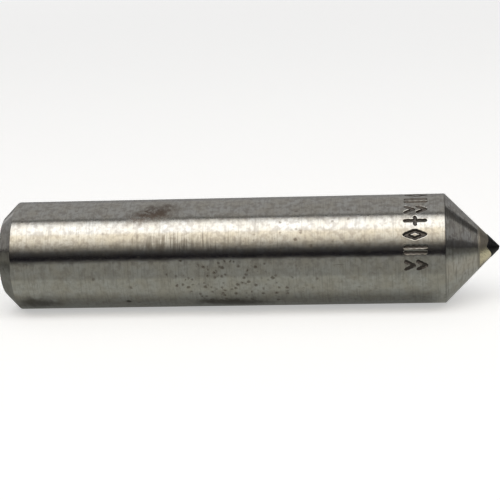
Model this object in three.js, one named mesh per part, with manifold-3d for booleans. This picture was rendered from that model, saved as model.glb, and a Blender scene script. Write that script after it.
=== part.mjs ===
// Single-point diamond dresser: a plain round steel shank with a 90 degree nose, and one industrial diamond
// held in a sintered metal setting that is silver brazed into the nose. It trues and dresses grinding wheels.
// Millimetres. The tool lies along +X: the origin is the centre of the flat heel, and the stone's point is at
// x = OVERALL_LENGTH. +Z is up. Nothing on this tool moves.
import * as THREE from "three";
import { mergeVertices } from "three/addons/utils/BufferGeometryUtils.js";
import Module from "manifold-3d";

const wasm = await Module();
wasm.setup();

// ---- Driving dimensions --------------------------------------------------------------------------------
const OVERALL_LENGTH = 50.8; // heel to the stone's point: 2 in
const SHANK_DIAMETER = 11.1125; // 7/16 in
const HEEL_CHAMFER = 1.5; // 45 degree lead-in that helps the shank into its holder
const NOSE_ANGLE = 90; // included angle of the cone
const NOSE_EDGE_BREAK = 0.1; // the burr taken off where the cone meets the shank

const SETTING_DIAMETER = 4.2; // sintered slug that grips the stone
const SETTING_LENGTH = 6; // its straight length, behind the cone
const BRAZE_FILM = 0.12; // solder between the slug and the pocket
const POCKET_POINT_ANGLE = 118; // the drill's point, left at the bottom of the pocket
const MATING_GAP = 0.03; // space left between two pieces that touch

const STONE_WIDTH = 3.5; // corner to corner at the girdle, before its edges are rounded
const STONE_LENGTH = 4.9; // worn point to the buried end
const STONE_GIRDLE_DEPTH = 2.7; // from the worn point back to the girdle
const STONE_EXPOSURE = 0.9; // how much of the stone stands out of the setting
const STONE_POINT_WIDTH = 0.5; // across the flat that wear puts on the point
const STONE_HEEL_WIDTH = 0.9; // across the buried end
const STONE_ROUNDING = 0.86; // the rounded edges are this share of the sharp corners' reach
const STONE_TURN = 12; // degrees round its own axis, away from square with the heel
const STONE_SHORT_OF_APEX = 0.12; // the worn point lies this far inside the cone's own apex

const MARK_COUNT = 7; // stamped marks round the nose end of the shank
const MARK_PITCH = 1.5; // along the circumference
const MARK_WIDTH = 0.8; // between the middles of the outer strokes
const MARK_HEIGHT = 2; // the same, along the shank
const MARK_STROKE = 0.28; // width of a struck line
const MARK_DEPTH = 0.2;
const MARK_SETBACK = 2.9; // from the middle of the marks to the root of the cone
const MARK_MIDDLE_ANGLE = 45; // degrees above the front of the shank, for the middle of the row

const SIDES = 96; // flats that stand for each round face
const CUTTER_OVERRUN = 0.5; // how far a cutter reaches outside what it cuts

// ---- Places worked out from them -----------------------------------------------------------------------
const radians = THREE.MathUtils.degToRad;
const shankRadius = SHANK_DIAMETER / 2;
const settingRadius = SETTING_DIAMETER / 2;
const brazeInner = settingRadius + MATING_GAP;
const brazeOuter = brazeInner + BRAZE_FILM;
const pocketRadius = brazeOuter + MATING_GAP;
const noseSlope = 1 / Math.tan(radians(NOSE_ANGLE / 2)); // length of cone for each mm of radius
const apex = OVERALL_LENGTH + STONE_SHORT_OF_APEX;
const onNose = (radius) => apex - radius * noseSlope; // where the cone has that radius
const noseRoot = onNose(shankRadius);
const settingFoot = onNose(settingRadius) - SETTING_LENGTH;
const pointSlope = 1 / Math.tan(radians(POCKET_POINT_ANGLE / 2));
const lip = OVERALL_LENGTH - STONE_EXPOSURE; // the end of the setting, where the stone comes out
const lipRadius = (apex - lip) / noseSlope;
const stoneWidthAtLip = 2 * (lipRadius - 2 * MATING_GAP); // its corners come out just inside the lip's rim

// ---- Helpers -------------------------------------------------------------------------------------------

// A turned shape: [radius, place along the tool] pairs revolved about the tool's axis. Its flats touch the
// true radius, and every turned shape has its flats at the same angles, so nested ones keep their gap.
function turned(profile, sides = SIDES) {
  const flat = 1 / Math.cos(Math.PI / sides);
  const points = profile.map(([radius, along]) => new THREE.Vector2(radius * flat, along));
  return new THREE.LatheGeometry(points, sides, Math.PI / sides);
}

// A closed geometry as a manifold-3d solid, for the cuts.
function solid(geometry) {
  const bare = geometry.clone();
  bare.deleteAttribute("normal");
  bare.deleteAttribute("uv");
  const merged = mergeVertices(bare, 1e-4);
  return new wasm.Manifold(
    new wasm.Mesh({
      numProp: 3,
      vertProperties: new Float32Array(merged.attributes.position.array),
      triVerts: new Uint32Array(merged.index.array),
    }),
  );
}

// A manifold-3d solid as a three.js geometry.
function geometryOf(made) {
  const { vertProperties, triVerts } = made.getMesh();
  return new THREE.BufferGeometry()
    .setAttribute("position", new THREE.BufferAttribute(new Float32Array(vertProperties), 3))
    .setIndex(new THREE.BufferAttribute(new Uint32Array(triVerts), 1));
}

// ---- Stamped marks -------------------------------------------------------------------------------------

// Plain signs, each a list of strokes [from x, from y, to x, to y] in a box one unit square.
const SIGNS = [
  [[0.5, 0, 1, 0.5], [1, 0.5, 0.5, 1], [0.5, 1, 0, 0.5], [0, 0.5, 0.5, 0]], // lozenge
  [[0.15, 0, 0.15, 1], [0.85, 0, 0.85, 1]], // twin bars
  [[0, 0, 0.5, 0.4], [0.5, 0.4, 1, 0], [0, 0.6, 0.5, 1], [0.5, 1, 1, 0.6]], // two chevrons
  [[0.5, 0, 0.5, 1], [0, 0.5, 1, 0.5]], // cross
];

// One struck line of a mark: a bar that reaches MARK_DEPTH into the shank, set round it at an angle.
function strike([fromX, fromY, toX, toY], angle) {
  const across = [(fromX - 0.5) * MARK_WIDTH, (toX - 0.5) * MARK_WIDTH];
  const along = [(fromY - 0.5) * MARK_HEIGHT, (toY - 0.5) * MARK_HEIGHT];
  const run = Math.hypot(across[1] - across[0], along[1] - along[0]);
  const bar = new THREE.BoxGeometry(MARK_STROKE, run + MARK_STROKE, MARK_DEPTH + CUTTER_OVERRUN);
  bar.rotateZ(-Math.atan2(across[1] - across[0], along[1] - along[0]));
  bar.translate(
    (across[0] + across[1]) / 2,
    noseRoot - MARK_SETBACK + (along[0] + along[1]) / 2,
    shankRadius + (CUTTER_OVERRUN - MARK_DEPTH) / 2,
  );
  return solid(bar.rotateY(angle));
}

function stampedMarks() {
  const strokes = [];
  for (let mark = 0; mark < MARK_COUNT; mark += 1) {
    const place = (mark - (MARK_COUNT - 1) / 2) * MARK_PITCH;
    const angle = radians(90 - MARK_MIDDLE_ANGLE) + place / shankRadius;
    for (const stroke of SIGNS[mark % SIGNS.length]) strokes.push(strike(stroke, angle));
  }
  return strokes.reduce((all, stroke) => all.add(stroke));
}

// ---- The pieces ----------------------------------------------------------------------------------------

// The shank, with its chamfered heel, its cone and the drilled pocket that takes the setting.
function shankGeometry() {
  const blank = turned([
    [0, 0],
    [shankRadius - HEEL_CHAMFER, 0],
    [shankRadius, HEEL_CHAMFER],
    [shankRadius, noseRoot - NOSE_EDGE_BREAK],
    [shankRadius - NOSE_EDGE_BREAK, onNose(shankRadius - NOSE_EDGE_BREAK)],
    [pocketRadius, onNose(pocketRadius)],
    [pocketRadius, settingFoot],
    [0, settingFoot - pocketRadius * pointSlope],
  ]);
  return geometryOf(solid(blank).subtract(stampedMarks()));
}

// Silver solder: a thin sleeve round the slug, and the drill point below it filled solid.
function brazeGeometry() {
  const floor = settingFoot - MATING_GAP;
  return turned([
    [0, settingFoot - brazeOuter * pointSlope],
    [brazeOuter, settingFoot],
    [brazeOuter, onNose(brazeOuter)],
    [brazeInner, onNose(brazeInner)],
    [brazeInner, floor],
    [0, floor],
  ]);
}

// A natural eight-faced crystal with rounded edges: a square double pyramid, with its edges cut back by a
// wider one that stands an eighth of a turn round. Growing it makes the hole that it sits in.
function stoneSolid(grow = 0) {
  const pyramids = (reach, turn) => {
    const flat = (width) => ((width / 2) * reach + grow) * Math.cos(Math.PI / 4);
    const profile = [
      [0, OVERALL_LENGTH - STONE_LENGTH - grow],
      [flat(STONE_HEEL_WIDTH), OVERALL_LENGTH - STONE_LENGTH - grow],
      [flat(STONE_WIDTH), OVERALL_LENGTH - STONE_GIRDLE_DEPTH],
      [flat(stoneWidthAtLip), lip],
      [flat(STONE_POINT_WIDTH), OVERALL_LENGTH + grow],
      [0, OVERALL_LENGTH + grow],
    ];
    return solid(turned(profile, 4).rotateY(radians(turn)));
  };
  return pyramids(1, STONE_TURN).intersect(pyramids(STONE_ROUNDING * Math.SQRT2, STONE_TURN + 45));
}

// The sintered slug, ground to the cone with the nose, and hollowed where the stone sits.
function settingGeometry() {
  const slug = turned([
    [0, settingFoot],
    [settingRadius, settingFoot],
    [settingRadius, onNose(settingRadius)],
    [lipRadius, lip],
    [0, lip],
  ]);
  return geometryOf(solid(slug).subtract(stoneSolid(MATING_GAP)));
}

// ---- Materials and assembly ----------------------------------------------------------------------------
function finish(color, roughness, metalness) {
  return new THREE.MeshStandardMaterial({ color, roughness, metalness });
}

const steel = finish(0x9a978f, 0.3, 1);
const sinteredMetal = finish(0xa5906a, 0.5, 1);
const silverSolder = finish(0xc9c3a8, 0.35, 1);
const diamond = finish(0x101014, 0.15, 0);

function piece(name, geometry, material) {
  const mesh = new THREE.Mesh(geometry, material);
  mesh.name = name;
  return mesh;
}

const dresser = new THREE.Group();
dresser.add(
  piece("shank", shankGeometry(), steel),
  piece("braze_joint", brazeGeometry(), silverSolder),
  piece("setting_matrix", settingGeometry(), sinteredMetal),
  piece("diamond_stone", geometryOf(stoneSolid()), diamond),
);
dresser.rotation.z = -Math.PI / 2; // the turned shapes stand along Y, and the tool lies along X

export default dresser;
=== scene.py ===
# %% [markdown]
# # A single-point diamond dresser
#
# This lesson dresses a finished CAD model of a small grinding tool. A diamond dresser is a plain steel
# bar, 7/16 in thick and 2 in long, with one industrial diamond held in its nose. It is pressed against
# a spinning grinding wheel to make the wheel round and sharp again. The tool lies along X with its
# stone at the +X end, and sizes are in metres.
#
# The CAD model already has the right pieces in the right places, so it is loaded first and never moved.
# Each of its pieces is then replaced by a finer mesh of the same size, which has the small things that
# CAD leaves out: turning rings, struck marks with raised lips, a worn stone and a granular setting.

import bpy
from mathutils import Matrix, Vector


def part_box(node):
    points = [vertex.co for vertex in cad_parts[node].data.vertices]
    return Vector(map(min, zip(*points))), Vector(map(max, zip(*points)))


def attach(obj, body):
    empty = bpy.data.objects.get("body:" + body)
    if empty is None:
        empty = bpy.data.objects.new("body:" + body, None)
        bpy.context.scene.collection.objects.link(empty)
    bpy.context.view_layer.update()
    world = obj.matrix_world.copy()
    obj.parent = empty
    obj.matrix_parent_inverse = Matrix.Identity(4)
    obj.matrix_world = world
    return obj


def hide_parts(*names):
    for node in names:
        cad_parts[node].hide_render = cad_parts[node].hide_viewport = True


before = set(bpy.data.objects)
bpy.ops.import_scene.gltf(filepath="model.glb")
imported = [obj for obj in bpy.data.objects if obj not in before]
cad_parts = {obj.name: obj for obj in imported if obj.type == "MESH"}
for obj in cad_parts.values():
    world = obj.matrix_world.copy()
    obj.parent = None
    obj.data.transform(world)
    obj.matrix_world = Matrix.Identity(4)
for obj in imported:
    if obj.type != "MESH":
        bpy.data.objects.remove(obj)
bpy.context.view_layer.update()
print("pieces in the CAD model:", sorted(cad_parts))

# %% The other modules, and the unit
import math

import bmesh
import bpy
import numpy as np
from mathutils import Matrix, Vector, noise

MM = 0.001

# %% [markdown]
# ## Reading sizes from the CAD model
#
# Every size that CAD already holds is read from its pieces instead of being typed again, so the two
# can't disagree. For a turned piece, what matters of each corner is its place along the tool and its
# distance from the tool's axis.

# %% Measure the turned pieces
def corners_of(node):
    """(place along the tool, distance from its axis) of every corner of a CAD piece, as two arrays."""
    points = np.array([vertex.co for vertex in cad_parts[node].data.vertices])
    return points[:, 0], np.hypot(points[:, 1], points[:, 2])


def radius_of(node):
    """Half the height of a CAD piece, which is the radius of a turned one."""
    low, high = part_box(node)
    return (high.z - low.z) / 2


def radius_at(node, place, slack=0.002 * MM):
    """The widest that a CAD piece is at one place along the tool."""
    along, radius = corners_of(node)
    return radius[abs(along - place) < slack].max()


def full_width(node):
    """The two ends of the stretch over which a CAD piece has its full radius."""
    along, radius = corners_of(node)
    straight = along[radius > 0.999 * radius_of(node)]
    return straight.min(), straight.max()


shank_radius = radius_of("shank")
heel_flat = radius_at("shank", 0)
heel_end = full_width("shank")[0]
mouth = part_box("shank")[1].x
slug_radius = radius_of("setting_matrix")
slug_foot, slug_shoulder = full_width("setting_matrix")
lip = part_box("setting_matrix")[1].x
lip_radius = radius_at("setting_matrix", lip)
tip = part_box("diamond_stone")[1].x

# %% The nose cone, from the slug that is ground to it
taper = (slug_radius - lip_radius) / (lip - slug_shoulder)  # radius lost for each metre of length
apex = lip + lip_radius / taper
cone_root = apex - shank_radius / taper


def cone_place(radius):
    """Where along the tool the nose cone has that radius."""
    return apex - radius / taper


print(f"shank {2 * shank_radius / MM:.2f} mm thick")
print(f"straight from {heel_end / MM:.2f} to {cone_root / MM:.2f} mm")
print(f"cone half angle {math.degrees(math.atan(taper)):.1f} degrees, stone's point at {tip / MM:.2f} mm")

# %% [markdown]
# ## Turned pieces as a grid
#
# A lathe makes a shape by turning an outline round an axis, and a mesh can be made the same way.
# Blender's Screw modifier would do it, but here the surface also has to be pressed in at the struck
# marks and to carry fine turning rings, so the grid is made in NumPy: rows follow the outline, columns
# go round the tool, and a height function may move each point along the outline's own normal. Columns
# needn't be evenly spaced, so they can be dense at the marks.

# %% An outline with its corners rounded off
BEND_STEPS = 6  # points in each rounded corner


def outline(corners, rounding, spacing):
    """Points along a turned outline, as (place, radius).

    rounding has a radius for each inner corner, and spacing has a step for each stretch between corners.
    """
    corners = [np.array(corner, float) for corner in corners]
    share = np.linspace(0, 1, BEND_STEPS + 1)[1:, None]
    start = corners[0]
    pieces = [[start]]
    inner = zip(spacing, rounding, corners, corners[1:], corners[2:])
    for step, radius, before, corner, after in inner:
        way_in = (corner - before) / np.linalg.norm(corner - before)
        way_out = (after - corner) / np.linalg.norm(after - corner)
        turned = math.acos(np.clip(way_in @ way_out, -1, 1))
        cut = radius * math.tan(turned / 2)
        pieces.append(stretch(start, corner - way_in * cut, step))
        if radius:
            bend = (1 - share) ** 2 * (corner - way_in * cut) + 2 * share * (1 - share) * corner
            pieces.append(bend + share**2 * (corner + way_out * cut))
        start = corner + way_out * cut
    pieces.append(stretch(start, corners[-1], spacing[-1]))
    return np.concatenate(pieces)


def stretch(start, end, step):
    """Even steps from just after start to end."""
    count = max(1, round(np.linalg.norm(end - start) / step))
    return start + (end - start) * np.linspace(0, 1, count + 1)[1:, None]


# %% A mesh from an outline
def turned_mesh(name, points, angles, height=None):
    """A mesh of an outline, which starts and ends on the axis, turned about X.

    The angles are degrees up from the tool's front. height says how far a point moves out, along the
    outline's own normal.
    """
    along, radius = points[:, 0], points[:, 1]
    run = np.gradient(points, axis=0)
    run /= np.linalg.norm(run, axis=1)[:, None]
    turn = np.radians(angles)[None, :]
    raised = 0 if height is None else height(along[1:-1, None], radius[1:-1, None], turn)
    place = along[1:-1, None] - run[1:-1, 1:] * raised + 0 * turn
    reach = radius[1:-1, None] + run[1:-1, :1] * raised + 0 * turn
    ring = np.stack([place, -reach * np.cos(turn), reach * np.sin(turn)], axis=2).reshape(-1, 3)
    ends = [[along[0], 0, 0], [along[-1], 0, 0]]
    here = np.arange(place.size).reshape(place.shape)
    beside = np.roll(here, -1, axis=1)
    quads = np.stack([here[:-1], here[1:], beside[1:], beside[:-1]], axis=2).reshape(-1, 4)
    first, last = place.size, place.size + 1
    start_fan = [(first, a, b) for a, b in zip(here[0].tolist(), beside[0].tolist())]
    end_fan = [(a, last, b) for a, b in zip(here[-1].tolist(), beside[-1].tolist())]
    return new_piece(name, np.concatenate([ring, ends]), quads.tolist() + start_fan + end_fan)


def new_piece(name, points, faces):
    """An object from points and faces, shaded smooth."""
    mesh = bpy.data.meshes.new(name)
    mesh.from_pydata(points.tolist(), [], faces)
    mesh.shade_smooth()
    piece = bpy.data.objects.new(name, mesh)
    bpy.context.scene.collection.objects.link(piece)
    print(f"{name}: {len(mesh.vertices)} points, {len(mesh.polygons)} faces")
    return piece


# %% [markdown]
# ## Struck marks
#
# A dresser carries small marks round the end of its shank, struck with a hammer and steel punches. A
# punch pushes the metal aside, so each line is a groove with a low raised lip, deeper on one side where
# the punch leaned. The marks here are plain signs that spell nothing. They lie in the band where CAD
# has them, which is found by looking for corners of the shank that are a little way below its skin.

# %% Find the band of marks in the CAD model
along, y, z = np.array([vertex.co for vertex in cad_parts["shank"].data.vertices]).T
radius = np.hypot(y, z)
straight_part = (along > 2 * heel_end) & (along < cone_root - 0.2 * MM)
sunk = straight_part & (radius < 0.99 * shank_radius) & (radius > 0.9 * shank_radius)
sunk_angles = np.degrees(np.arctan2(z, -y))[sunk]
mark_row = (along[sunk].min() + along[sunk].max()) / 2
mark_band = (sunk_angles.min(), sunk_angles.max())
print(f"marks centred {mark_row / MM:.1f} mm from the heel")
print(f"marks from {mark_band[0]:.0f} to {mark_band[1]:.0f} degrees up from the front")

# %% The signs, as strokes in a unit square: across, along, across, along
SIGNS = [
    [(0.5, 0, 1, 0.5), (1, 0.5, 0.5, 1), (0.5, 1, 0, 0.5), (0, 0.5, 0.5, 0)],  # lozenge
    [(0.15, 0, 0.15, 1), (0.85, 0, 0.85, 1)],  # twin bars
    [(0, 0, 0.5, 0.4), (0.5, 0.4, 1, 0), (0, 0.6, 0.5, 1), (0.5, 1, 1, 0.6)],  # two chevrons
    [(0.5, 0, 0.5, 1), (0, 0.5, 1, 0.5)],  # cross
]
MARK_COUNT = 7
MARK_PITCH = 1.5 * MM  # round the shank
MARK_WIDTH = 0.8 * MM
MARK_HEIGHT = 2.0 * MM
STROKE = 0.32 * MM
STRIKE_DEPTH = 0.17 * MM
LIP_HEIGHT = 0.003 * MM
BURR = 0.035 * MM  # how ragged a groove's edges are
HAND_SEED = 195  # the unsteady hand that held the punches


# %% How far each point of the shank is pressed in by the marks
def from_stroke(across, along, stroke):
    """Distance from a stroke's middle line."""
    start = np.array([(stroke[0] - 0.5) * MARK_WIDTH, (stroke[1] - 0.5) * MARK_HEIGHT])
    run = np.array([(stroke[2] - 0.5) * MARK_WIDTH, (stroke[3] - 0.5) * MARK_HEIGHT]) - start
    share = ((across - start[0]) * run[0] + (along - start[1]) * run[1]) / (run @ run)
    share = np.clip(share, 0, 1)
    return np.hypot(across - start[0] - share * run[0], along - start[1] - share * run[1])


def eased(low, high, value):
    """0 below low, 1 above high, and a smooth rise between them."""
    share = np.clip((value - low) / (high - low), 0, 1)
    return share * share * (3 - 2 * share)


def struck(along, turn):
    """Height of the shank's skin at the marks: below 0 in a groove, above 0 on its lips."""
    hand = np.random.default_rng(HAND_SEED)
    middle = math.radians(sum(mark_band) / 2)
    total = np.zeros(np.broadcast(along, turn).shape)
    for mark in range(MARK_COUNT):
        place = (mark - (MARK_COUNT - 1) / 2) * MARK_PITCH + hand.normal(0, 0.04) * MM
        across = -(turn - middle) * shank_radius - place
        along_mark = along - mark_row - hand.normal(0, 0.05) * MM
        tilt_across, tilt_along = hand.uniform(-0.5, 0.5, 2)
        lean = hand.uniform(0.55, 1.1)
        lean = lean + tilt_across * across / MARK_WIDTH + tilt_along * along_mark / MARK_HEIGHT
        strokes = SIGNS[mark % len(SIGNS)]
        away = np.min([from_stroke(across, along_mark, stroke) for stroke in strokes], axis=0)
        away += BURR * np.sin(across / (0.06 * MM) + mark) * np.sin(along_mark / (0.09 * MM) + 2 * mark)
        groove = 1 - eased(0.2 * STROKE, 0.62 * STROKE, away)
        ridge = np.exp(-(((away - 0.75 * STROKE) / (0.2 * STROKE)) ** 2))
        total += (LIP_HEIGHT * ridge - STRIKE_DEPTH * groove) * np.clip(lean, 0.4, 1.4)
    return total


# %% [markdown]
# ## The shank
#
# The bar is turned and then ground, and its nose is turned to 90 degrees. Cutting tools leave rings:
# coarse ones on the chamfer and the cone, and hardly any on the ground part. The rings here are a sum
# of a few waves that never repeat together, a micron or two high, which is enough to bend a reflection.
# Sharp corners are broken by a fine radius, so that each edge catches a thread of light.

# %% The turning rings
RING_PITCHES = [0.13 * MM, 0.21 * MM, 0.37 * MM]
RING_HEIGHT = 0.0011 * MM
RING_PHASE = 40  # for each mm of pitch, so that the waves don't start together


def rings(distance):
    """Height of the turning rings at a distance along the outline."""
    waves = [np.sin(2 * np.pi * distance / pitch + pitch / MM * RING_PHASE) for pitch in RING_PITCHES]
    return RING_HEIGHT * sum(waves)


# %% How far the shank's skin stands up
mouth_radius = radius_at("shank", mouth)


def shank_height(along, radius, turn):
    """Height of the rings and the marks, at each point of the shank."""
    cut_faces = ((along < heel_end) | (along > cone_root)) & (radius > mouth_radius)
    near_marks = abs(along - mark_row) < MARK_HEIGHT
    return np.where(cut_faces, rings(along - radius), 0) + np.where(near_marks, struck(along, turn), 0)


# %% The shank's mesh
DRILL_HALF_ANGLE = 59  # degrees, of the point that a common drill leaves
MARK_MARGIN = 6  # degrees of dense columns past each end of the marks
MARK_COLUMN = 0.6  # degrees between two dense columns
FAR_COLUMNS = 130  # columns on the plain side

pocket_floor = slug_foot - mouth_radius / math.tan(math.radians(DRILL_HALF_ANGLE))
shank_corners = [
    (0, 0),
    (0, heel_flat),
    (heel_end, shank_radius),
    (mark_row - 0.8 * MARK_HEIGHT, shank_radius),
    (mark_row + 0.8 * MARK_HEIGHT, shank_radius),
    (cone_root, shank_radius),
    (cone_place(mouth_radius), mouth_radius),
    (slug_foot, mouth_radius),
    (pocket_floor, 0),
]
shank_rounding = [0.12 * MM, 0.1 * MM, 0, 0, 0.09 * MM, 0.01 * MM, 0]
shank_steps = [0.14 * MM, 0.08 * MM, 0.5 * MM, 0.055 * MM, 0.2 * MM, 0.05 * MM, 1 * MM, 1 * MM]
mark_side = np.arange(mark_band[0] - MARK_MARGIN, mark_band[1] + MARK_MARGIN, MARK_COLUMN)
far_side = np.linspace(mark_side[-1], mark_side[0] + 360, FAR_COLUMNS)[1:-1]
shank = turned_mesh(
    "shank_turned",
    outline(shank_corners, shank_rounding, shank_steps),
    np.concatenate([mark_side, far_side]),
    shank_height,
)

# %% [markdown]
# ## The stone
#
# A natural industrial diamond grows as two four-sided pyramids base to base, with rounded edges. A sum
# of powers gives that form: with power 1 the distances |x| + |y| + |z| = 1 make a sharp octahedron, and
# a power a little over 1 swells its faces and rounds its edges. The part that stands out is ground
# flush with the cone, and grinding wheels then wear its point into a few small flats. The mesh starts
# as a fine ball whose points are moved in to that form.

# %% The crystal's sizes
stone_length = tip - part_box("diamond_stone")[0].x
GIRDLE_DEPTH = 2.7 * MM  # from the worn point back to the widest place
STONE_HALF_WIDTH = 1.4 * MM
STONE_OFF_CENTRE = (-0.15 * MM, 0.2 * MM)  # Y and Z: no natural stone sits quite true in its setting
UNWORN_POINT = 6.0 * MM  # from the girdle to where the point was before wear
STONE_POWER = 1.25
STONE_TURN = math.radians(12)  # about the tool's axis
PROUD = 0.05 * MM  # the stone is harder than its setting, so it stands this far out of the cone
WEAR_FLATS = [(5, 250, 1), (40, 75, 1.09), (47, 190, 1.13), (36, 310, 1.07)]  # tilt, side, reach
STEP_HEIGHT = 0.012 * MM  # growth steps on the faces
STEP_COUNT = 9  # how many of them there are, roughly, across a face


# %% How far the crystal reaches in a direction
def wear_face(tilt, side):
    """The direction that a wear flat faces."""
    tilt, side = math.radians(tilt), math.radians(side)
    return Vector((math.cos(tilt), -math.sin(tilt) * math.cos(side), math.sin(tilt) * math.sin(side)))


def crystal_reach(way):
    """Distance from the middle of the girdle to the crystal's skin."""
    turned_way = Matrix.Rotation(STONE_TURN, 3, "X") @ way
    depth = UNWORN_POINT if way.x > 0 else stone_length - GIRDLE_DEPTH
    half_sizes = (depth, STONE_HALF_WIDTH, STONE_HALF_WIDTH)
    powers = [(abs(part) / half) ** STONE_POWER for part, half in zip(turned_way, half_sizes)]
    reach = sum(powers) ** (-1 / STONE_POWER)
    reach += STEP_HEIGHT * noise.noise(way * STEP_COUNT, noise_basis="VORONOI_CRACKLE")
    for tilt, side, share in WEAR_FLATS:
        face = wear_face(tilt, side)
        if way @ face > 0.05:
            reach = min(reach, share * GIRDLE_DEPTH * face.x / (way @ face))
    return reach


# %% The stone's mesh
def crystal(name, swell=0):
    """The stone or, with some swell, the space that it needs."""
    shape = bmesh.new()
    bmesh.ops.create_icosphere(shape, subdivisions=6, radius=1)
    centre = Vector((tip - GIRDLE_DEPTH, *STONE_OFF_CENTRE))
    for point in shape.verts:
        way = point.co.normalized()
        place = centre + way * (crystal_reach(way) + swell)
        cone_radius = taper * (apex - place.x) + PROUD + swell
        ground = min(1, cone_radius / max(math.hypot(place.y, place.z), 0.01 * MM))
        point.co = (place.x, place.y * ground, place.z * ground)
    points = np.array([point.co for point in shape.verts])
    faces = [[corner.index for corner in face.verts] for face in shape.faces]
    shape.free()
    return new_piece(name, points, faces)


stone = crystal("diamond_crystal")

# %% [markdown]
# ## The setting
#
# The stone is sintered into a slug of bronze and tungsten powder, which is ground to the same cone as
# the nose. The slug is turned, roughened with powder grains, and the stone's own seat is cut out of it
# with a Boolean, using a crystal that is a hair larger, so that the two pieces don't share any space.
# Where the crystal is wider than the cone nothing of the slug is left, and that gives the slanting,
# ragged rim by itself.

# %% The slug's mesh
slug_end = tip - 0.3 * MM  # inside the stone, so that the cut for its seat takes the end away
slug_corners = [
    (slug_foot, 0),
    (slug_foot, slug_radius),
    (slug_shoulder, slug_radius),
    (slug_end, taper * (apex - slug_end)),
    (slug_end, 0),
]
slug = turned_mesh(
    "setting_slug",
    outline(slug_corners, [0, 0, 0], [1 * MM, 1 * MM, 0.035 * MM, 0.1 * MM]),
    np.arange(0, 360, 1.5),
)

# %% Powder grains on the slug's cone
GRAIN_HEIGHT = 0.012 * MM
GRAIN_SIZE = 0.16 * MM


def grain(point):
    """A bumpy surface of two sizes of powder grain."""
    return noise.noise(point / GRAIN_SIZE) + 0.5 * noise.noise(point / (0.4 * GRAIN_SIZE))


for vertex in slug.data.vertices:
    if vertex.co.x > slug_shoulder:
        out = Vector((taper, vertex.co.y, vertex.co.z)).normalized()
        vertex.co += out * GRAIN_HEIGHT * (grain(vertex.co) - 1)
print(f"grains of {GRAIN_SIZE / MM:.2f} mm on the slug's cone")

# %% Cut the stone's seat out of the slug
SEAT_GAP = 0.01 * MM


def cut_out(piece, cutter):
    """Takes the cutter's space out of a piece, and removes the cutter."""
    boolean = piece.modifiers.new("seat", "BOOLEAN")
    boolean.operation = "DIFFERENCE"
    boolean.solver = "EXACT"
    boolean.object = cutter
    shapes = bpy.context.evaluated_depsgraph_get()
    piece.data = bpy.data.meshes.new_from_object(piece.evaluated_get(shapes))
    piece.modifiers.clear()
    bpy.data.objects.remove(cutter)
    print(f"{piece.name}: {len(piece.data.polygons)} faces after the cut")


cut_out(slug, crystal("seat_cutter", SEAT_GAP))

# %% [markdown]
# ## The solder
#
# The slug is fixed in the drilled pocket with silver solder. All that shows of it is a ring as fine as
# a pencil line round the cone, wiped a hair lower than the steel. It is turned like the shank, from a
# sleeve's outline. Its corners and the slug's are marked sharp, or smooth shading would turn them into
# bright threads.

# %% The solder's mesh
def cone_gap(node):
    """Inner and outer radius of a CAD sleeve where it meets the cone."""
    along, radius = corners_of(node)
    return radius[along > along.max() - 0.2 * MM].min(), radius_of(node)


WIPED = 0.002 * MM  # how far the solder lies below the cone
FLOOR_GAP = 0.03 * MM  # between the solder and the slug's foot

solder_inner, solder_outer = cone_gap("braze_joint")
solder_floor = slug_foot - FLOOR_GAP
print(f"solder from {2 * solder_inner / MM:.2f} to {2 * solder_outer / MM:.2f} mm across")
solder_corners = [
    (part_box("braze_joint")[0].x, 0),
    (slug_foot, solder_outer),
    (cone_place(solder_outer) - WIPED, solder_outer),
    (cone_place(solder_inner) - WIPED, solder_inner),
    (solder_floor, solder_inner),
    (solder_floor, 0),
]
solder = turned_mesh(
    "solder_ring",
    outline(solder_corners, [0, 0, 0, 0], [1 * MM, 1 * MM, 0.04 * MM, 1 * MM, 1 * MM]),
    np.arange(0, 360, 2),
)

# %% Keep the corners of the slug and the solder sharp
SHARP_FROM = math.radians(35)

for piece in (slug, solder):
    piece.data.set_sharp_from_angle(angle=SHARP_FROM)

# %% [markdown]
# ## Shader maths as Python expressions
#
# A procedural material is a sum of patterns. Wiring each plus and times by hand hides the idea, so one
# small class wraps a node's output and lets ordinary Python operators add the Math nodes. Any other
# node comes from one method, which takes the node's type, its settings, and what goes into its sockets.

# %% A value that runs through a material's nodes
class Flow:
    """An output socket that can be added, multiplied and so on like a number."""

    def __init__(self, recipe, socket):
        self.recipe = recipe
        self.socket = socket

    def maths(self, operation, first, second=0.0):
        return self.recipe.node("ShaderNodeMath", {"operation": operation}, {0: first, 1: second})

    def __add__(self, other):
        return self.maths("ADD", self, other)

    def __sub__(self, other):
        return self.maths("SUBTRACT", self, other)

    def __rsub__(self, other):
        return self.maths("SUBTRACT", other, self)

    def __mul__(self, other):
        return self.maths("MULTIPLY", self, other)

    def __truediv__(self, other):
        return self.maths("DIVIDE", self, other)

    def __pow__(self, other):
        return self.maths("POWER", self, other)

    def __abs__(self):
        return self.maths("ABSOLUTE", self)

    __radd__ = __add__
    __rmul__ = __mul__


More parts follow.
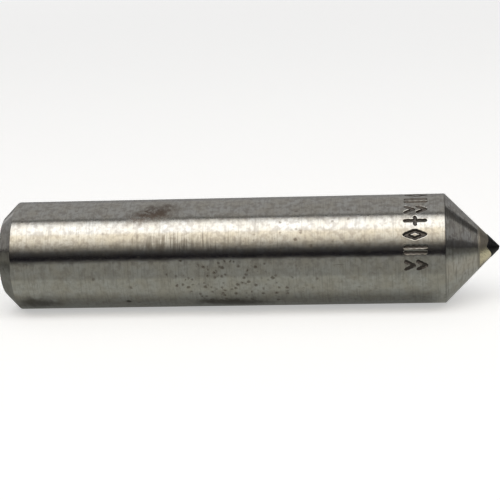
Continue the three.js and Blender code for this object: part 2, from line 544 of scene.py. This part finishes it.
# %% A node tree to which nodes are added by type
class Recipe:
    """A node tree, and the patterns that materials here are mixed from."""

    def __init__(self, tree):
        self.tree = tree

    def node(self, kind, settings=None, inputs=None, output=0):
        """Adds a node, sets it up, fills its sockets, and returns one of its outputs."""
        made = self.tree.nodes.new(kind)
        for name, value in (settings or {}).items():
            setattr(made, name, value)
        for name, value in (inputs or {}).items():
            if isinstance(value, Flow):
                self.tree.links.new(value.socket, made.inputs[name])
            else:
                made.inputs[name].default_value = value
        return Flow(self, made.outputs[output])

    def eased(self, low, high, value):
        """0 below low, 1 above high, smooth between; low may be the larger."""
        limits = {"Value": value, "From Min": low, "From Max": high}
        return self.node("ShaderNodeMapRange", {"interpolation_type": "SMOOTHSTEP"}, limits)

    def colour(self, share, first, second):
        """first where share is 0, second where it is 1. A colour is three numbers or a Flow."""
        first, second = ((*tint, 1) if isinstance(tint, tuple) else tint for tint in (first, second))
        return self.node("ShaderNodeMix", {"data_type": "RGBA"}, {0: share, 6: first, 7: second}, 2)

    def vector(self, x, y, z):
        return self.node("ShaderNodeCombineXYZ", None, {0: x, 1: y, 2: z})

    def noise(self, place, scale, detail=2.0, roughness=0.5):
        inputs = {"Vector": place, "Scale": scale, "Detail": detail, "Roughness": roughness}
        return self.node("ShaderNodeTexNoise", None, inputs)


# %% A material with places in millimetres
class Finish(Recipe):
    """A material whose patterns are laid out by where a point is on the tool, in millimetres."""

    def __init__(self, name, **numbers):
        self.material = bpy.data.materials.new(name)
        self.material.use_nodes = True
        super().__init__(self.material.node_tree)
        self.shader = self.tree.nodes["Principled BSDF"]
        for socket, number in numbers.items():
            self.shader.inputs[socket.replace("_", " ")].default_value = number
        metres = self.node("ShaderNodeTexCoord", output="Object")
        scaled = {0: metres, "Scale": 1 / MM}
        self.place = self.node("ShaderNodeVectorMath", {"operation": "SCALE"}, scaled)
        axes = [self.node("ShaderNodeSeparateXYZ", None, {0: self.place}, axis) for axis in range(3)]
        self.x, self.y, self.z = axes
        self.radius = (self.y * self.y + self.z * self.z) ** 0.5

    def set(self, **flows):
        """Feeds patterns into the shader's sockets."""
        for socket, flow in flows.items():
            self.tree.links.new(flow.socket, self.shader.inputs[socket.replace("_", " ")])
        print(f"{self.material.name}: {len(self.tree.nodes)} nodes")

    def bump(self, height, microns, under=None):
        """Bends the surface as if it stood up by height, where 1 is that many microns."""
        inputs = {"Height": height, "Distance": microns * 0.001 * MM, "Strength": 1.0}
        if under:
            inputs["Normal"] = under
        return self.node("ShaderNodeBump", None, inputs)

    def near(self, x, up, reach_x, reach_up, lean=0.0):
        """1 at a spot, falling to 0 at its ragged edge.

        up and reach_up are degrees round the tool from its front, lean is degrees for each mm.
        """
        front = self.node("ShaderNodeMath", {"operation": "ARCTAN2"}, {0: self.z, 1: 0 - self.y})
        lengthways = self.x - x
        sideways = (front - math.radians(up) - lengthways * math.radians(lean)) / math.radians(reach_up)
        lengthways = lengthways / reach_x
        ragged = (self.noise(self.place, 0.9, 3.0) - 0.5) * 1.3
        return self.eased(1.0, 0.2, (sideways * sideways + lengthways * lengthways) ** 0.5 + ragged)


# %% [markdown]
# ## Ground steel
#
# The shank is ground steel that has been handled. Its colour is a warm grey under a thin mottled film,
# which dulls its highlight in blotches. Grinding leaves fine arcs that run part of the way round, so a
# noise is stretched round the tool and squeezed along it. Then come the accidents: rust specks, most of
# them low on the front, a brown smear higher up, a scratch and a dark spot, rub marks that run round the
# tool, and what stays at the bottom of the struck marks. The steel is also darker in patches low on the
# underside, under the middle and at the heel. Each is a mask times a colour, laid over the one before.

# %% The patterns of the grinding and of the film
steel = Finish("ground_steel", Metallic=1.0)
round_y, round_z = steel.y / (steel.radius + 0.001), steel.z / (steel.radius + 0.001)  # never 0 / 0
arcs = steel.noise(steel.vector(steel.x * 6.0, round_y * 2.2, round_z * 2.2), 1.0, 1.0, 0.6)
fine_arcs = steel.noise(steel.vector(steel.x * 26.0, round_y * 5.0, round_z * 5.0), 1.0, 2.0)
film = steel.noise(steel.place, 0.55, 4.0, 0.6)
mottle = steel.noise(steel.place, 2.3, 3.0, 0.65)
blotches = steel.eased(0.42, 0.66, steel.noise(steel.place, 1.9, 1.5, 0.6))
dents = steel.noise(steel.place, 1.5, 0.0)

# %% Rust specks: some cells of a Voronoi pattern have a speck at their centre
cells = {"Vector": steel.place, "Scale": 1.9}
to_centre = steel.node("ShaderNodeTexVoronoi", None, cells)
cell_colour = steel.node("ShaderNodeTexVoronoi", None, cells, 1)
draw = steel.node("ShaderNodeSeparateColor", None, {0: cell_colour})
chance = 0.08 + steel.near(24.2, -20, 8.5, 42) * 0.85 + steel.near(30.0, 30, 5.0, 20) * 0.3
rust = steel.eased(0.46, 0.12, to_centre + (mottle - 0.5) * 0.9) * steel.eased(0.0, 0.12, chance - draw)

# %% The smear, darker patches low on the underside, a scratch with a spot, and the rub marks
smear = steel.near(16.0, 62, 3.9, 19, lean=2.8) * steel.eased(0.25, 0.55, mottle)
# darker patches low on the underside, under the middle of the shank and at the heel
low_dark_patches = steel.near(24.0, -52, 5.2, 15) + steel.near(3.8, -48, 3.4, 17) * 0.8
scratch = steel.near(34.9, 0, 0.75, 0.8) * 0.5 + steel.near(13.2, -46, 0.4, 4)
rubs = steel.noise(steel.vector(steel.x * 4.5, round_y * 1.3, round_z * 1.3), 1.0, 1.0)
rubs = steel.eased(0.47, 0.60, rubs) * steel.near(18.5, 26, 8.0, 15)
root_line = steel.eased(0.11, 0.04, abs(steel.x - (cone_root / MM + 0.02)))

# %% Dirt in the struck marks, wherever the shank is below its skin
past_body = steel.eased(mark_row / MM - 1.4, mark_row / MM - 1.3, steel.x)
before_cone = steel.eased(cone_root / MM - 0.1, cone_root / MM - 0.3, steel.x)
sunken = steel.eased(0.001, 0.016, shank_radius / MM - steel.radius) * past_body * before_cone

# %% The steel's colour, from clean to dirty
tint = steel.colour(steel.eased(0.35, 0.65, film), (0.62, 0.61, 0.575), (0.58, 0.55, 0.485))
for cover, colour in [
    (blotches * (0.35 + steel.eased(-1.5, 1.5, steel.z) * 0.3), (0.38, 0.35, 0.315)),
    (steel.eased(0.55, 0.70, mottle) * 0.3, (0.34, 0.29, 0.24)),
    (steel.eased(0.50, 0.70, arcs) * (0.65 - before_cone * 0.35), (0.31, 0.29, 0.26)),
    (rubs * 0.6, (0.17, 0.145, 0.115)),
    (smear * 0.92, (0.15, 0.11, 0.085)),
    (low_dark_patches * 0.85, (0.09, 0.07, 0.055)),
    (rust * 0.66, (0.13, 0.095, 0.07)),
    (scratch, (0.16, 0.14, 0.12)),
    (root_line * 0.4, (0.10, 0.09, 0.08)),
    (sunken * 0.9, (0.06, 0.05, 0.045)),
]:
    tint = steel.colour(cover, tint, colour)

# %% Its roughness and its relief
wavy = steel.bump(steel.noise(steel.place, 0.45, 1.0), 9.0)
steel.set(
    Base_Color=tint,
    Roughness=0.15 + (arcs - 0.5) * 0.06 + blotches * 0.03 + rust * 0.12 + smear * 0.2 + sunken * 0.25,
    Normal=steel.bump(fine_arcs * 0.12 + arcs * 0.2 + dents * 4.5 - rust * 1.5, 1.2, wavy),
)
shank.data.materials.append(steel.material)

# %% [markdown]
# ## Sintered setting, solder and stone
#
# The slug is a pale golden metal with dark pores and a dull, granular look. Silver solder is smoother,
# with a yellow cast from its copper and zinc. The stone is black, and its skin is sooty and worn, so it
# reflects much less than a cut gem does: its index is set near that of glass, as a plain number on the
# shader's own socket.

# %% The setting
sintered = Finish("sintered_bronze", Metallic=1.0)
powder = sintered.noise(sintered.place, 6.5, 3.0, 0.6)
pores = sintered.eased(0.60, 0.68, sintered.noise(sintered.place, 9.0, 2.0))
bronze = sintered.colour(powder, (0.36, 0.32, 0.26), (0.48, 0.43, 0.35))
painted_highlight = sintered.near(tip / MM - 1.4, -16, 1.7, 44)  # a painted highlight: bright gold low on the slug's front, near the stone
bronze = sintered.colour(painted_highlight, bronze, sintered.colour(powder, (0.88, 0.78, 0.52), (1.0, 0.93, 0.70)))
sintered.set(
    Base_Color=sintered.colour(pores * 0.8, bronze, (0.10, 0.08, 0.06)),
    Roughness=0.30 + powder * 0.2 + pores * 0.2 - painted_highlight * 0.18,
    Normal=sintered.bump(powder - pores, 3.0),
)
slug.data.materials.append(sintered.material)

# %% The solder
silver = Finish("silver_solder", Metallic=1.0)
flow_marks = silver.noise(silver.place, 3.0, 2.0)
silver.set(
    Base_Color=silver.colour(flow_marks, (0.40, 0.37, 0.31), (0.50, 0.47, 0.41)),
    Roughness=0.36 + flow_marks * 0.15,
)
solder.data.materials.append(silver.material)

# %% The stone
black = Finish("black_diamond", IOR=1.4)
clouds = black.noise(black.place, 1.6, 3.0)
black.set(
    Base_Color=black.colour(clouds, (0.001, 0.001, 0.0015), (0.006, 0.0055, 0.0055)),
    Roughness=0.16 + clouds * 0.2,
    Normal=black.bump(black.noise(black.place, 7.0, 2.0), 3.0),
)
stone.data.materials.append(black.material)

# %% [markdown]
# ## Putting the pieces on the CAD body
#
# Nothing on this tool moves, so it has one body, "root". Each fine piece rides on it and stands for the
# CAD piece of the same shape. The list also gives a material slot for each, which nothing here reads.

# %% Ride and replace; the slot in each row is not used
for piece, node, slot in [
    (shank, "shank", "turned_steel"),
    (solder, "braze_joint", "silver_solder"),
    (slug, "setting_matrix", "sintered_metal"),
    (stone, "diamond_stone", "diamond"),
]:
    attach(piece, "root")
    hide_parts(node)
    print(f"{piece.name} stands for {node}")

# %% [markdown]
# ## The table
#
# Polished metal shows what is round it, so a pale table would make the whole underside of the tool
# white. In a studio, a grey card is laid where the metal sees it. Here the pale floor is left out of
# reflections, and a grey card just under it is seen only in them. The floor glows a little, and more
# far away, so that it stays as pale as the room out to where they meet. The card is painted: lighter
# close to the tool, with painted light below its nose and painted shade right under its body, and
# darker past its ends. Both are stage, not part of the tool.

# %% A pale floor for the eye and a grey card for the steel
def sheet(name, half_width, height, tint, glow):
    """A level square sheet of paper, and its finish."""
    sides = (-half_width, half_width)
    points = np.array([(x, y, height) for x in sides for y in sides])
    flat = new_piece(name, points, [(0, 2, 3, 1)])
    paper = Finish(name, Roughness=0.95, Specular_IOR_Level=0.1, Emission_Strength=1.0)
    paper.shader.inputs["Base Color"].default_value = (*tint, 1)
    paper.shader.inputs["Emission Color"].default_value = (glow, glow, glow, 1)
    flat.data.materials.append(paper.material)
    return flat, paper


floor, pale = sheet("floor", 3.0, -shank_radius, (0.93, 0.93, 0.93), 0.0)
far = pale.eased(150.0, 900.0, (pale.x * pale.x + pale.y * pale.y) ** 0.5)
pale.set(Emission_Color=pale.colour(far, (0.42, 0.42, 0.42), (0.9, 0.9, 0.9)))
floor.visible_glossy = False
floor.visible_shadow = False

# %% The card's paint, by where it lies under the tool
BLACK = (0.0, 0.0, 0.0)

card, grey = sheet("grey_card", 1.0, -shank_radius - 0.05 * MM, (0.6, 0.6, 0.56), 0.02)
close = grey.eased(11.5, 10.0, abs(grey.y))
# painted shade on the card right under the tool's body, so that reflections of it are dark
under = grey.eased(6.3, 3.2, abs(grey.y)) * grey.eased(46.0, 43.0, grey.x)
# painted light on the card below the nose, lighter than the card round it
painted_light_below_nose = grey.eased(47.0, 56.0, grey.x) * grey.eased(70.0, 60.0, grey.x)
past_heel = grey.eased(-7.0, -27.0, grey.x)
past_nose = grey.eased(64.0, 92.0, grey.x)
paint = grey.colour(close, (0.405, 0.415, 0.385), (0.53, 0.545, 0.50))
paint = grey.colour(painted_light_below_nose, paint, (0.64, 0.64, 0.59))
# the painted shade under the body
paint = grey.colour(under * 0.5, paint, BLACK)
grey.set(Base_Color=grey.colour(past_heel * 0.6 + past_nose * 0.7, paint, BLACK))
card.visible_camera = False
card.visible_diffuse = False
card.visible_shadow = False

# %% [markdown]
# ## The lights
#
# The tool is lit by one long soft light overhead, a little to the front. On a cylinder such a light
# becomes a bright stripe, and how softly the stripe's edges fade is decided by how the light fades. So
# the light is built of long strips, side by side on an arc round the tool, each as bright as the soft
# light is there. Low in front is left almost dark, which draws the thin black line along the middle of
# the shank. Faint panels behind and at the sides keep the rest of the steel grey. The room itself is
# pale to the eye but nearly dark in reflections, or it would wash out the steel's contrast.

# %% A flat light that faces a point
def facing(back):
    """The turn of an object whose back is that way and whose width is level."""
    side = Vector((0, 0, 1)).cross(back).normalized()
    return Matrix((side, back.cross(side), back)).transposed()


def panel(name, place, aim, width, length, brightness, tint):
    """A flat light with its length level. Its brightness is what a mirror would show."""
    light = bpy.data.lights.new(name, "AREA")
    light.shape = "RECTANGLE"
    light.size, light.size_y = length, width
    light.energy = brightness * math.pi * width * length
    light.color = tint
    lamp = bpy.data.objects.new(name, light)
    bpy.context.scene.collection.objects.link(lamp)
    lamp.matrix_world = facing((Vector(place) - Vector(aim)).normalized()).to_4x4()
    lamp.matrix_world.translation = place
    lamp.visible_camera = False


# %% Strips of light on an arc round the tool
STRIP_DISTANCE = 0.35
STRIP_LENGTH = 0.6
STRIP_STEP = 6  # degrees from one strip to the next
STRIP_WIDTH = math.radians(STRIP_STEP) * STRIP_DISTANCE
WHITE, WARM = (1.0, 1.0, 1.0), (1.0, 0.93, 0.80)

middle = Vector((tip / 2, 0, 0))


def strip(name, up, brightness, tint):
    """A strip of light that is so many degrees up from the front."""
    way = Vector((0, -math.cos(math.radians(up)), math.sin(math.radians(up))))
    place = middle + way * STRIP_DISTANCE
    panel(f"{name}_{up}", place, middle, STRIP_WIDTH, STRIP_LENGTH, brightness, tint)


# %% The soft light overhead, from its lowest strip up
LOWEST_STRIP = 26  # degrees up from the front
WARM_BELOW = 60
SOFT_LIGHT = [0.14, 0.40, 0.75, 1.05, 1.25, 1.45, 1.7, 1.85, 1.8, 1.5, 0.85]

for step, brightness in enumerate(SOFT_LIGHT):
    up = LOWEST_STRIP + step * STRIP_STEP
    strip("strip", up, brightness, WARM if up < WARM_BELOW else WHITE)

# %% The faint panels behind, at both sides and low in front
for up in range(99, 178, STRIP_STEP):
    strip("back", up, 0.27, WHITE)
panel("right", (0.5, 0.0, 0.20), middle, 0.24, 0.5, 0.24, WHITE)
panel("right_low", (0.5, 0.0, 0.052), middle, 0.08, 0.5, 0.07, WHITE)
panel("front_low", (middle.x, -0.6, 0.0), middle, 0.03, 1.6, 0.13, WHITE)
panel("left", (-0.40, 0.23, 0.14), middle, 0.26, 0.55, 0.27, WHITE)
print("lights:", len(bpy.data.lights))

# %% The room: dark in reflections, pale to the eye
world = bpy.data.worlds.new("room")
bpy.context.scene.world = world
world.use_nodes = True
room = Recipe(world.node_tree)
seen = room.node("ShaderNodeLightPath", output="Is Camera Ray")
direction = room.node("ShaderNodeTexCoord", output="Generated")
height = room.node("ShaderNodeSeparateXYZ", None, {0: direction}, 2)
dim = room.colour(room.eased(0.1, 0.5, height), (0.003, 0.002, 0.006), (0.11, 0.11, 0.11))
shade = room.colour(seen, dim, (0.98, 0.98, 0.98))
room.tree.links.new(shade.socket, world.node_tree.nodes["Background"].inputs[0])

# %% [markdown]
# ## The camera
#
# A long lens stands low in front and a little to the right, so that the stone's end is slightly nearer.
# The camera is rolled a few degrees, which lifts the right-hand end of the tool.

# %% Place the camera
CAMERA_AROUND, CAMERA_UP, CAMERA_ROLL = math.radians(6.46), math.radians(15), math.radians(-2.71)
CAMERA_DISTANCE = 0.1774
LENS = 124.2

aim = Vector((25.41 * MM, 0, 0.166 * MM))
toward = Vector((
    math.sin(CAMERA_AROUND) * math.cos(CAMERA_UP),
    -math.cos(CAMERA_AROUND) * math.cos(CAMERA_UP),
    math.sin(CAMERA_UP),
))
lens = bpy.data.cameras.new("camera")
lens.lens, lens.sensor_width, lens.clip_start = LENS, 36, 0.005
camera = bpy.data.objects.new("camera", lens)
bpy.context.scene.collection.objects.link(camera)
camera.matrix_world = (facing(toward) @ Matrix.Rotation(CAMERA_ROLL, 3, "Z")).to_4x4()
camera.matrix_world.translation = aim + toward * CAMERA_DISTANCE
bpy.context.scene.camera = camera
bpy.context.scene.view_settings.view_transform = "Standard"
print(f"camera {CAMERA_DISTANCE / MM:.0f} mm away with a {LENS:.0f} mm lens")
